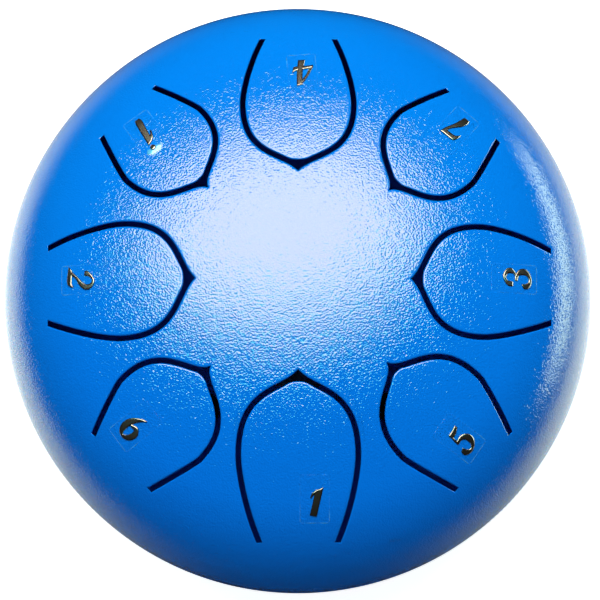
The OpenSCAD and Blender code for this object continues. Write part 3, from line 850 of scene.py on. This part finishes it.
def screwGrids():
    # Pan head with a cross recess: seen from below its height falls by the crown's
    # (r / R)^2 and by depth c(x, y), where c steps off smoothly at the sides of both
    # arms. The thread on the shank is r = R - depth |2 frac(a / 2 pi - z / pitch) - 1|.
    s = screw
    n, seat, end = s["columns"], washer["base"], washer["base"] + s["length"]
    flat, crest = s["head"] - s["headRound"], s["radius"] - s["gap"]
    a = np.arange(n) * 2 * np.pi / n
    r = np.linspace(0, flat, s["headRows"] + 1)[:, None]
    x, y = r * np.cos(a), r * np.sin(a)

    def arm(u, v):
        # 1 within an arm along u and 0 outside, by a smooth step at its sides and ends
        return smoothStep((s["crossWidth"] / 2 - np.abs(v)) / s["crossWall"] + 0.5) * smoothStep(
            (s["crossLength"] / 2 - np.abs(u)) / s["crossEnd"])

    cross = np.maximum(arm(x, y), arm(y, x))
    pan = s["headBase"] + s["crown"] * (r / s["head"]) ** 2
    face = np.stack([x, y, pan + s["crossDepth"] * cross], -1)
    edge = pan[-1, 0]
    rim = revolve(np.vstack([
        [(flat, edge)],
        arc((flat, edge + s["headRound"]), s["headRound"], 285, 360, 6),
        [(s["head"], seat - s["bevel"]), (s["head"] - s["bevel"], seat)],
        [(s["radius"] + 0.1, seat), (crest, seat + s["neck"])]]), n)
    z = np.linspace(seat + s["neck"], end - s["tip"], s["threadRows"] + 1)[:, None]
    turn = (a / (2 * np.pi) - z / s["pitch"]) % 1
    depth = s["threadDepth"] * np.abs(2 * turn - 1)
    cut = smoothStep((z - seat - s["plain"]) / s["runIn"])
    cut = cut * smoothStep((end - s["tip"] - z) / s["runOut"])
    radius = crest - depth * cut
    shank = np.stack([radius * np.cos(a), radius * np.sin(a), z + 0 * a], -1)
    tip = revolve([(crest, end - s["tip"]), (s["radius"] - s["tip"], end), (0, end)], n)
    return [face, rim, shank, tip]


def washerGrids():
    # A rectangle with four rounded corners, each a quarter circle, carried round
    z, t, r, b, e = washer["base"], washer["thick"], washer["radius"], washer["bore"], washer["edge"]
    section = np.vstack([
        arc((r - e, z + e), e, -90, 0, 3), arc((r - e, z + t - e), e, 0, 90, 3),
        arc((b + e, z + t - e), e, 90, 180, 3), arc((b + e, z + e), e, 180, 270, 3)])
    return [revolve(np.vstack([section, section[:1]]), washer["columns"])]


def nutGrids():
    # A hexagon cut by a cone at both ends, r = the lesser of w / cos a and c + d /
    # tan 30, with a from the middle of the nearest flat and d from the nearest end
    low = rubberFoot["height"] + drum["sheet"]
    high, n, e = low + nut["height"], nut["columns"], nut["chamfer"]
    a = np.arange(n) * 2 * np.pi / n
    flat = nut["flat"] / np.cos((a + np.pi / 6) % (np.pi / 3) - np.pi / 6)
    levels = np.array(nut["levels"])
    z = np.r_[low + levels, high - levels[-2::-1]]
    cone = nut["flat"] * nut["chamferShare"] + np.minimum(z - low, high - z) / math.tan(
        math.radians(nut["chamferAngle"]))
    r = np.minimum(flat[None, :], cone[:, None])
    side = np.stack([r * np.cos(a), r * np.sin(a), z[:, None] + 0 * r], -1)
    b = nut["bore"]
    bore = revolve([(b + e, high), (b, high - e), (b, low + e), (b + e, low)], n)
    return [np.concatenate([side, bore, side[:1]])]


feet = [footPiece(k) for k in range(4)]
for name, node, makeGrids in (("footScrews", "foot_screws", screwGrids),
                              ("footWashers", "foot_washers", washerGrids),
                              ("footNuts", "foot_nuts", nutGrids)):
    grids = [(atFoot(g, angle), True) for angle in lowerShell["footAngles"] for g in makeGrids()]
    piece = makePiece(name, grids, sharp=30)
    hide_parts(node)
    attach(piece, "drum")
print("feet and fasteners done")


# Materials

def colour(code):
    # sRGB hex to linear: c / 12.92 when dark, else ((c + 0.055) / 1.055) to the power 2.4
    parts = [int(code[k:k + 2], 16) / 255 for k in (1, 3, 5)]
    return [c / 12.92 if c <= 0.04045 else ((c + 0.055) / 1.055) ** 2.4 for c in parts] + [1.0]


def addNode(tree, kind, inputs, **settings):
    # Adds a node, sets it, and fills its sockets with values or links them to other
    # sockets. A node given for a value stands for its first output in use.
    node = tree.nodes.new(kind)
    for key, value in settings.items():
        setattr(node, key, value)
    for socket, value in inputs.items():
        if isinstance(value, bpy.types.Node):
            value = next(output for output in value.outputs if output.enabled)
        if isinstance(value, bpy.types.NodeSocket):
            tree.links.new(value, node.inputs[socket])
        else:
            node.inputs[socket].default_value = value
    return node


def newMaterial(name):
    # A material with an empty node tree, and that tree
    material = bpy.data.materials.new(name)
    material.use_nodes = True
    material.node_tree.nodes.clear()
    return material, material.node_tree


def perMillimetre(size):
    # Texture scale that gives features of this many millimetres: one over their size in metres
    return 1 / (size * millimetre)


powder = {
    "light": "#0084F4", "deep": "#0072EC",   # at the back, and a darker blue painted towards the front as shade, also in random cloudy patches
    "inside": "#1044C8",                     # darker blue below the skin: partly a guessed thin overspray on bare steel, partly painted shade
    "insideFrom": (0.25, 0.6),               # mm below the skin, where the darker inside blue takes over
    "insideRough": 0.7, "insideShine": 0.1,
    "flow": 3.2, "flowHeight": 0.05,         # mm: long waves of the melted coat
    "peel": 0.45, "peelHeight": 0.106,       # orange peel
    "pit": 1.05, "pitRadius": 0.3, "pitHeight": 0.028,
    "cloud": 28, "cloudShare": 0.3, "cloudShift": 0.15,      # thicker and thinner areas
    "calmWithin": 0.004, "calmShare": 0.1,   # mm below the skin, where only this share of the peel is left
    "backShare": 0.55,                       # of the peel, at the back, where the coat is thinner
    "mirrorTint": "#FFFFC0",                 # of what the skin mirrors: lamps look white on the blue
    "rough": (0.035, 0.05), "index": 1.55,
}


def powderCoat():
    # Polyester powder, sprayed and baked: a clear deep blue with long waves, orange
    # peel and pits, so lamps mirror as bright fields with speckled edges. Noise of
    # this size gives bumps 0.6 to 0.9 mm across, as the real peel has, and they are
    # drawn deeper than real ones so that they show. The coat draws smooth where it
    # turns over a cut edge, so the edge mirrors one clean line. The blue is painted
    # darker towards the front as shade, and in random cloudy patches. Below the skin,
    # on the cut sides and inside the shells, a darker rough blue is partly a guessed
    # thin overspray on bare steel and partly painted shade.
    material, tree = newMaterial("polyesterPowderCoat")
    place = addNode(tree, "ShaderNodeTexCoord", {}).outputs["Object"]
    depth = addNode(tree, "ShaderNodeAttribute", {}, attribute_name="depth").outputs["Fac"]
    inside = addNode(tree, "ShaderNodeMapRange", {
        "Value": depth, "From Min": powder["insideFrom"][0], "From Max": powder["insideFrom"][1]})
    calm = addNode(tree, "ShaderNodeMapRange", {
        "Value": depth, "From Min": 0.0, "From Max": powder["calmWithin"], "To Min": 1.0,
        "To Max": powder["calmShare"]})
    split = addNode(tree, "ShaderNodeSeparateXYZ", {"Vector": place})
    # 0 at the back to 1 at the front: it grows the peel, and paints the blue darker towards the front as
    #                                  shade
    thick = addNode(tree, "ShaderNodeMapRange", {
        "Value": split.outputs["Y"], "From Min": drum["radius"] * millimetre,
        "From Max": -drum["radius"] * millimetre})
    build = addNode(tree, "ShaderNodeMapRange", {
        "Value": thick, "To Min": powder["backShare"], "To Max": 1.0})
    build = addNode(tree, "ShaderNodeMath", {0: build, 1: calm}, operation="MULTIPLY")
    peel, flow, cloud = [
        addNode(tree, "ShaderNodeTexNoise", {
            "Vector": place, "Scale": perMillimetre(powder[name]), "Detail": detail, "Roughness": 0.5},
            noise_dimensions="3D")
        for name, detail in (("peel", 0.0), ("flow", 1.0), ("cloud", 2.0))]
    drift = addNode(tree, "ShaderNodeMath", {
        0: cloud, 1: powder["cloudShare"], 2: thick}, operation="MULTIPLY_ADD")
    share = addNode(tree, "ShaderNodeMath", {
        0: drift, 1: powder["cloudShift"]}, operation="SUBTRACT", use_clamp=True)
    # painted shade: the blue turns darker towards the front, and in random cloudy patches
    tone = addNode(tree, "ShaderNodeMix", {
        "Factor": share, "A": colour(powder["light"]), "B": colour(powder["deep"])}, data_type="RGBA")
    # painted shade, with a guessed overspray: faces below the skin, the cut sides and the inside of the
    # shells, take the darker, rougher blue
    tone = addNode(tree, "ShaderNodeMix", {
        "Factor": inside, "A": tone, "B": colour(powder["inside"])}, data_type="RGBA")
    gloss = addNode(tree, "ShaderNodeMapRange", {
        "Value": peel, "From Min": 0.3, "From Max": 0.7, "To Min": powder["rough"][0],
        "To Max": powder["rough"][1]})
    rough = addNode(tree, "ShaderNodeMix", {
        "Factor": inside, "A": gloss, "B": powder["insideRough"]}, data_type="FLOAT")
    shine = addNode(tree, "ShaderNodeMix", {
        "Factor": inside, "A": 1.0, "B": powder["insideShine"]}, data_type="FLOAT")
    cells = addNode(tree, "ShaderNodeTexVoronoi", {
        "Vector": place, "Scale": perMillimetre(powder["pit"])}, voronoi_dimensions="3D", feature="F1")
    pits = addNode(tree, "ShaderNodeMapRange", {
        "Value": cells, "From Min": 0.0, "From Max": powder["pitRadius"] / powder["pit"]})
    below = {}
    for height, name in ((flow, "flowHeight"), (peel, "peelHeight"), (pits, "pitHeight")):
        bump = addNode(tree, "ShaderNodeBump", {
            "Height": height, "Strength": build, "Distance": powder[name] * millimetre, **below})
        below = {"Normal": bump}
    shader = addNode(tree, "ShaderNodeBsdfPrincipled", {
        "Base Color": tone, "Roughness": rough, "IOR": powder["index"], "Specular IOR Level": shine,
        "Specular Tint": colour(powder["mirrorTint"]), **below})
    addNode(tree, "ShaderNodeOutputMaterial", {"Surface": shader})
    return material


plate = {
    "dull": "#B2AC9C", "pale": "#CDCABC", "rough": 0.23,
    "toning": 1.6,                           # mm
    "grain": 0.25, "grainHeight": 0.012, "grainStrength": 0.5,
}


def palePlate():
    # Electroformed nickel under a thin gold flash: pale, nearly silver on the
    # bevels that catch a lamp, grey-brown in the flats that mirror the dark room.
    # The real grain is far finer and is drawn as coarse as it needs to show.
    material, tree = newMaterial("goldFlashedNickel")
    place = addNode(tree, "ShaderNodeTexCoord", {}).outputs["Object"]
    toning = addNode(tree, "ShaderNodeTexNoise", {
        "Vector": place, "Scale": perMillimetre(plate["toning"]), "Detail": 4.0, "Roughness": 0.6},
        noise_dimensions="3D")
    tone = addNode(tree, "ShaderNodeMix", {
        "Factor": toning, "A": colour(plate["dull"]), "B": colour(plate["pale"])}, data_type="RGBA")
    grain = addNode(tree, "ShaderNodeTexNoise", {
        "Vector": place, "Scale": perMillimetre(plate["grain"]), "Detail": 2.0}, noise_dimensions="3D")
    bump = addNode(tree, "ShaderNodeBump", {
        "Height": grain, "Strength": plate["grainStrength"],
        "Distance": plate["grainHeight"] * millimetre})
    shader = addNode(tree, "ShaderNodeBsdfPrincipled", {
        "Base Color": tone, "Metallic": 1.0, "Roughness": plate["rough"], "Normal": bump})
    addNode(tree, "ShaderNodeOutputMaterial", {"Surface": shader})
    return material


petFilm = {
    "colour": "#60CCFC", "rough": 0.12, "index": 1.57,
    "wave": 2.5, "waveHeight": 0.05, "waveStrength": 0.6,    # mm
}


def clearFilm():
    # Calendered PET transfer film, die-cut: it can hardly be seen, but for a pale
    # line along its cut edge, stronger at the outer end as a painted highlight, and a
    # painted white glint where it lifts, besides what the lift mirrors
    material, tree = newMaterial("clearPetFilm")
    show = addNode(tree, "ShaderNodeAttribute", {}, attribute_name="show").outputs["Fac"]
    place = addNode(tree, "ShaderNodeTexCoord", {}).outputs["Object"]
    wave = addNode(tree, "ShaderNodeTexNoise", {
        "Vector": place, "Scale": perMillimetre(petFilm["wave"]), "Detail": 2.0}, noise_dimensions="3D")
    bump = addNode(tree, "ShaderNodeBump", {
        "Height": wave, "Strength": petFilm["waveStrength"],
        "Distance": petFilm["waveHeight"] * millimetre})
    shader = addNode(tree, "ShaderNodeBsdfPrincipled", {
        "Base Color": colour(petFilm["colour"]), "Roughness": petFilm["rough"], "IOR": petFilm["index"],
        "Specular IOR Level": 1.0, "Alpha": show, "Normal": bump})
    addNode(tree, "ShaderNodeOutputMaterial", {"Surface": shader})
    return material


rubber = {
    "black": "#1E1E1F", "dusty": "#2C2B2A", "rough": 0.72, "index": 1.52,
    "dust": 4, "grain": 0.35, "grainHeight": 0.03, "grainStrength": 0.7,     # mm
}


def mouldedRubber():
    # Compression-moulded black rubber: matt, with the grain of a spark-eroded mould,
    # which is drawn a little coarser than real so that it shows
    material, tree = newMaterial("mouldedRubber")
    place = addNode(tree, "ShaderNodeTexCoord", {}).outputs["Object"]
    grain, dust = [
        addNode(tree, "ShaderNodeTexNoise", {
            "Vector": place, "Scale": perMillimetre(rubber[name]), "Detail": 3.0}, noise_dimensions="3D")
        for name in ("grain", "dust")]
    tone = addNode(tree, "ShaderNodeMix", {
        "Factor": dust, "A": colour(rubber["black"]), "B": colour(rubber["dusty"])}, data_type="RGBA")
    bump = addNode(tree, "ShaderNodeBump", {
        "Height": grain, "Strength": rubber["grainStrength"],
        "Distance": rubber["grainHeight"] * millimetre})
    shader = addNode(tree, "ShaderNodeBsdfPrincipled", {
        "Base Color": tone, "Roughness": rubber["rough"], "IOR": rubber["index"], "Normal": bump})
    addNode(tree, "ShaderNodeOutputMaterial", {"Surface": shader})
    return material


zinc = {
    "dark": "#B4B7BA", "bright": "#D0D1CE", "rough": (0.26, 0.42),
    "streak": 0.8,                           # mm
    # painted shade for what stands inside the shell, with a guessed overspray's roughness
    "sprayedAndShaded": "#141A2C", "sprayedRough": 0.7,
}


def zincPlate():
    # Bright zinc on cold-headed steel: grey metal with soft streaks. What stands
    # inside the shell, above its base, is painted dark and dull as shade, with the roughness of a guessed
    # overspray.
    material, tree = newMaterial("zincPlatedSteel")
    place = addNode(tree, "ShaderNodeTexCoord", {}).outputs["Object"]
    streak = addNode(tree, "ShaderNodeTexNoise", {
        "Vector": place, "Scale": perMillimetre(zinc["streak"]), "Detail": 4.0}, noise_dimensions="3D")
    tone = addNode(tree, "ShaderNodeMix", {
        "Factor": streak, "A": colour(zinc["dark"]), "B": colour(zinc["bright"])}, data_type="RGBA")
    rough = addNode(tree, "ShaderNodeMapRange", {
        "Value": streak, "To Min": zinc["rough"][0], "To Max": zinc["rough"][1]})
    split = addNode(tree, "ShaderNodeSeparateXYZ", {"Vector": place})
    level = lowerShell["floorGap"] + drum["sheet"]
    above = addNode(tree, "ShaderNodeMapRange", {
        "Value": split.outputs["Z"], "From Min": (level - 0.1) * millimetre,
        "From Max": (level + 0.1) * millimetre})
    # painted shade: above the base, inside the shell, the zinc turns dark
    tone = addNode(tree, "ShaderNodeMix", {
        "Factor": above, "A": tone, "B": colour(zinc["sprayedAndShaded"])}, data_type="RGBA")
    rough = addNode(tree, "ShaderNodeMix", {
        "Factor": above, "A": rough, "B": zinc["sprayedRough"]}, data_type="FLOAT")
    shader = addNode(tree, "ShaderNodeBsdfPrincipled", {
        "Base Color": tone, "Metallic": 1.0, "Roughness": rough})
    addNode(tree, "ShaderNodeOutputMaterial", {"Surface": shader})
    return material


finishes = {"powder_coat": powderCoat(), "gilt_numeral": palePlate(), "clear_film": clearFilm(),
            "foot_rubber": mouldedRubber(), "zinc_steel": zincPlate()}
slotOf = {part["node"]: part["material_slot"] for part in frame["record"]["subparts"]}
for node, piece in frame["nodes"].items():
    piece.data.materials.clear()
    piece.data.materials.append(finishes[slotOf[node]])
fasteners = [bpy.data.objects[name] for name in ("footScrews", "footWashers", "footNuts")]
for slot, pieces in (("powder_coat", [dome, base, seam] + tonguePieces), ("clear_film", filmPieces),
                     ("gilt_numeral", numeralPieces), ("foot_rubber", feet), ("zinc_steel", fasteners)):
    for piece in pieces:
        piece.data.materials.append(finishes[slot])
for group in (tonguePieces, filmPieces, numeralPieces):
    for i, piece in enumerate(group):
        bendWithTongue(piece)
print("materials done")


# Floor, light and camera, with their lengths in metres

studio = {
    "floorSize": 6, "floor": "#F4F4F2",
    "floorGlow": (0.94, 1.0), "glowEnd": (0.15, 0.8),        # near the drum, and far from it
    "shadowUnderDrum": "#3A4468", "shade": (0.021, 0.07),          # painted shadow: the floor turns dark towards the middle, between these radii
    "roomGlow": 0.012, "coolSheet": "#ECFFFF",
    "sheetEnd": (0.16, 0.24), "sheetTurn": 4.0,              # see paperFloor
    # two softboxes, one behind the other, tilted back from straight above the drum
    "boxTarget": (0, 0, 0.08), "boxTilt": 21, "boxDistance": 0.9,
    "warmBox": {"shift": (-0.045, -0.028), "size": (0.94, 0.68), "power": 9.4, "hue": (1.0, 0.12, 0.09)},
    "coolBox": {"shift": (-0.045, -0.07), "size": (1.06, 0.8), "power": 10.5, "hue": (0.17, 1.0, 0.93)},
    "fillPlace": (0, 0.8, 0.5), "fillSize": (0.8, 0.8), "fillPower": 1.7, "fillHue": (1.0, 0.95, 0.88),
    "sidePlace": (0.24, 0.045, 0.041), "sideTarget": (0.07, 0.01, 0.055),
    "sideSize": (0.27, 0.055), "sidePower": 0.175, "sideHue": (0.8, 1.0, 0.95),
}


def paperFloor():
    # White matt paper, dark under the drum by a smooth step between two radii. The
    # camera, gloss and glass see it glow white, and the drum still shades it. Gloss
    # mirrors a sheet that fades out over sheetEnd in a dark room, times (|x| / r) to
    # the power sheetTurn, so that it shows at the sides of the rim as in the photo.
    material, tree = newMaterial("matPaperFloor")
    light = addNode(tree, "ShaderNodeLightPath", {})
    place = addNode(tree, "ShaderNodeTexCoord", {}).outputs["Object"]
    away = addNode(tree, "ShaderNodeVectorMath", {0: place}, operation="LENGTH")
    # painted shadow under the drum: dark and bluish towards the middle by a smooth step between two radii,
    # which also dims the glow there
    shade = addNode(tree, "ShaderNodeMapRange", {
        "Value": away, "From Min": studio["shade"][0], "From Max": studio["shade"][1]},
        interpolation_type="SMOOTHSTEP")
    tint = addNode(tree, "ShaderNodeMix", {
        "Factor": shade, "A": colour(studio["shadowUnderDrum"]), "B": colour(studio["floor"])},
        data_type="RGBA")
    paint = addNode(tree, "ShaderNodeBsdfDiffuse", {"Color": tint})
    reach = addNode(tree, "ShaderNodeMapRange", {
        "Value": away, "From Min": studio["glowEnd"][0], "From Max": studio["glowEnd"][1],
        "To Min": studio["floorGlow"][0], "To Max": studio["floorGlow"][1]})
    level = addNode(tree, "ShaderNodeMath", {
        0: reach, 1: light.outputs["Is Glossy Ray"]}, operation="MAXIMUM")
    level = addNode(tree, "ShaderNodeMath", {0: shade, 1: level}, operation="MULTIPLY")
    hue = addNode(tree, "ShaderNodeMix", {
        "Factor": light.outputs["Is Glossy Ray"], "A": colour("#FFFFFF"),
        "B": colour(studio["coolSheet"])}, data_type="RGBA")
    glow = addNode(tree, "ShaderNodeEmission", {"Color": hue, "Strength": level})
    both = addNode(tree, "ShaderNodeAddShader", {0: paint, 1: glow})
    mirror = addNode(tree, "ShaderNodeMath", {
        0: light.outputs["Is Glossy Ray"], 1: light.outputs["Is Transmission Ray"]},
        operation="MAXIMUM")
    shown = addNode(tree, "ShaderNodeMath", {
        0: light.outputs["Is Camera Ray"], 1: mirror}, operation="MAXIMUM")
    seen = addNode(tree, "ShaderNodeMixShader", {0: shown, 1: paint, 2: both})
    course = addNode(tree, "ShaderNodeVectorMath", {0: place}, operation="NORMALIZE")
    split = addNode(tree, "ShaderNodeSeparateXYZ", {"Vector": course})
    square = addNode(tree, "ShaderNodeMath", {
        0: split.outputs["X"], 1: split.outputs["X"]}, operation="MULTIPLY")
    side = addNode(tree, "ShaderNodeMath", {0: square, 1: studio["sheetTurn"] / 2}, operation="POWER")
    near = addNode(tree, "ShaderNodeMapRange", {
        "Value": away, "From Min": studio["sheetEnd"][0], "From Max": studio["sheetEnd"][1],
        "To Min": 1.0, "To Max": 0.0})
    sheet = addNode(tree, "ShaderNodeMath", {0: side, 1: near}, operation="MULTIPLY")
    past = addNode(tree, "ShaderNodeMath", {0: 1.0, 1: sheet}, operation="SUBTRACT")
    gone = addNode(tree, "ShaderNodeMath", {
        0: past, 1: light.outputs["Is Glossy Ray"]}, operation="MULTIPLY")
    night = addNode(tree, "ShaderNodeEmission", {
        "Color": colour("#FFFFFF"), "Strength": studio["roomGlow"]})
    final = addNode(tree, "ShaderNodeMixShader", {0: gone, 1: seen, 2: night})
    addNode(tree, "ShaderNodeOutputMaterial", {"Surface": final})
    return material


def studioWorld():
    # A dark room for light and gloss, and white where the camera or glass looks past the floor
    world = bpy.data.worlds.new("studioWorld")
    world.use_nodes = True
    tree = world.node_tree
    tree.nodes.clear()
    light = addNode(tree, "ShaderNodeLightPath", {})
    clear = addNode(tree, "ShaderNodeMath", {
        0: light.outputs["Is Camera Ray"], 1: light.outputs["Is Transmission Ray"]},
        operation="MAXIMUM")
    dark = addNode(tree, "ShaderNodeBackground", {
        "Color": colour("#FFFFFF"), "Strength": studio["roomGlow"]})
    white = addNode(tree, "ShaderNodeBackground", {"Color": colour("#FFFFFF"), "Strength": 1.0})
    pick = addNode(tree, "ShaderNodeMixShader", {0: clear, 1: dark, 2: white})
    addNode(tree, "ShaderNodeOutputWorld", {"Surface": pick})
    return world


def softbox(name, shape, place, target, size, power, hue):
    # An area lamp at place, turned so that its -Z runs along target minus place. The
    # camera doesn't see it.
    lamp = bpy.data.lights.new(name, "AREA")
    lamp.shape = shape
    lamp.size, lamp.size_y = size
    lamp.energy = power
    lamp.color = hue
    holder = bpy.data.objects.new(name, lamp)
    holder.location = place
    holder.rotation_euler = (Vector(target) - Vector(place)).to_track_quat("-Z", "Y").to_euler()
    holder.visible_camera = False
    bpy.context.collection.objects.link(holder)
    return holder


bpy.ops.mesh.primitive_plane_add(size=studio["floorSize"], location=(0, 0, 0))
floor = bpy.context.active_object
floor.name = "floor"
floor.data.materials.append(paperFloor())
bpy.context.scene.world = studioWorld()

# The reflection of the photo's lamp turns cyan before it ends, so a warm softbox
# stands before a larger cool one. Together they give a nearly white light.
tilt = math.radians(studio["boxTilt"])
for name in ("warmBox", "coolBox"):
    box = studio[name]
    (across, along), (x, y, z) = box["shift"], studio["boxTarget"]
    place = (x + across, y + studio["boxDistance"] * math.sin(tilt) + along * math.cos(tilt),
             z + studio["boxDistance"] * math.cos(tilt) - along * math.sin(tilt))
    softbox(name, "ELLIPSE", place, studio["boxTarget"], box["size"], box["power"], box["hue"])
fill = softbox("backFill", "RECTANGLE", studio["fillPlace"], studio["boxTarget"], studio["fillSize"],
               studio["fillPower"], studio["fillHue"])
fill.visible_glossy = False      # only lifts the blue at the back, and mirrors nowhere
side = softbox("sideSoftbox", "ELLIPSE", studio["sidePlace"], studio["sideTarget"], studio["sideSize"],
               studio["sidePower"], studio["sideHue"])
side.visible_diffuse = False     # sparkles in the right rim, and lights nothing else

camera = {
    "tilt": 7.97,          # degrees from straight down
    "distance": 0.8,       # from the middle of the seam
    "lens": 180.42, "sensor": 36,            # millimetres
    "shift": (2.2, 0.2), "pixels": 600,      # of the picture's middle, in pixels of the photo's width
}
lens = bpy.data.cameras.new("photoCamera")
lens.sensor_width, lens.lens = camera["sensor"], camera["lens"]
lens.shift_x, lens.shift_y = [shift / camera["pixels"] for shift in camera["shift"]]
view = bpy.data.objects.new("photoCamera", lens)
tilt = math.radians(camera["tilt"])
view.location = (0, -camera["distance"] * math.sin(tilt),
                 drum["seam"] * millimetre + camera["distance"] * math.cos(tilt))
view.rotation_euler = (tilt, 0, 0)
bpy.context.collection.objects.link(view)
bpy.context.scene.camera = view
bpy.context.scene.view_settings.view_transform = "Standard"
print("camera and light done")
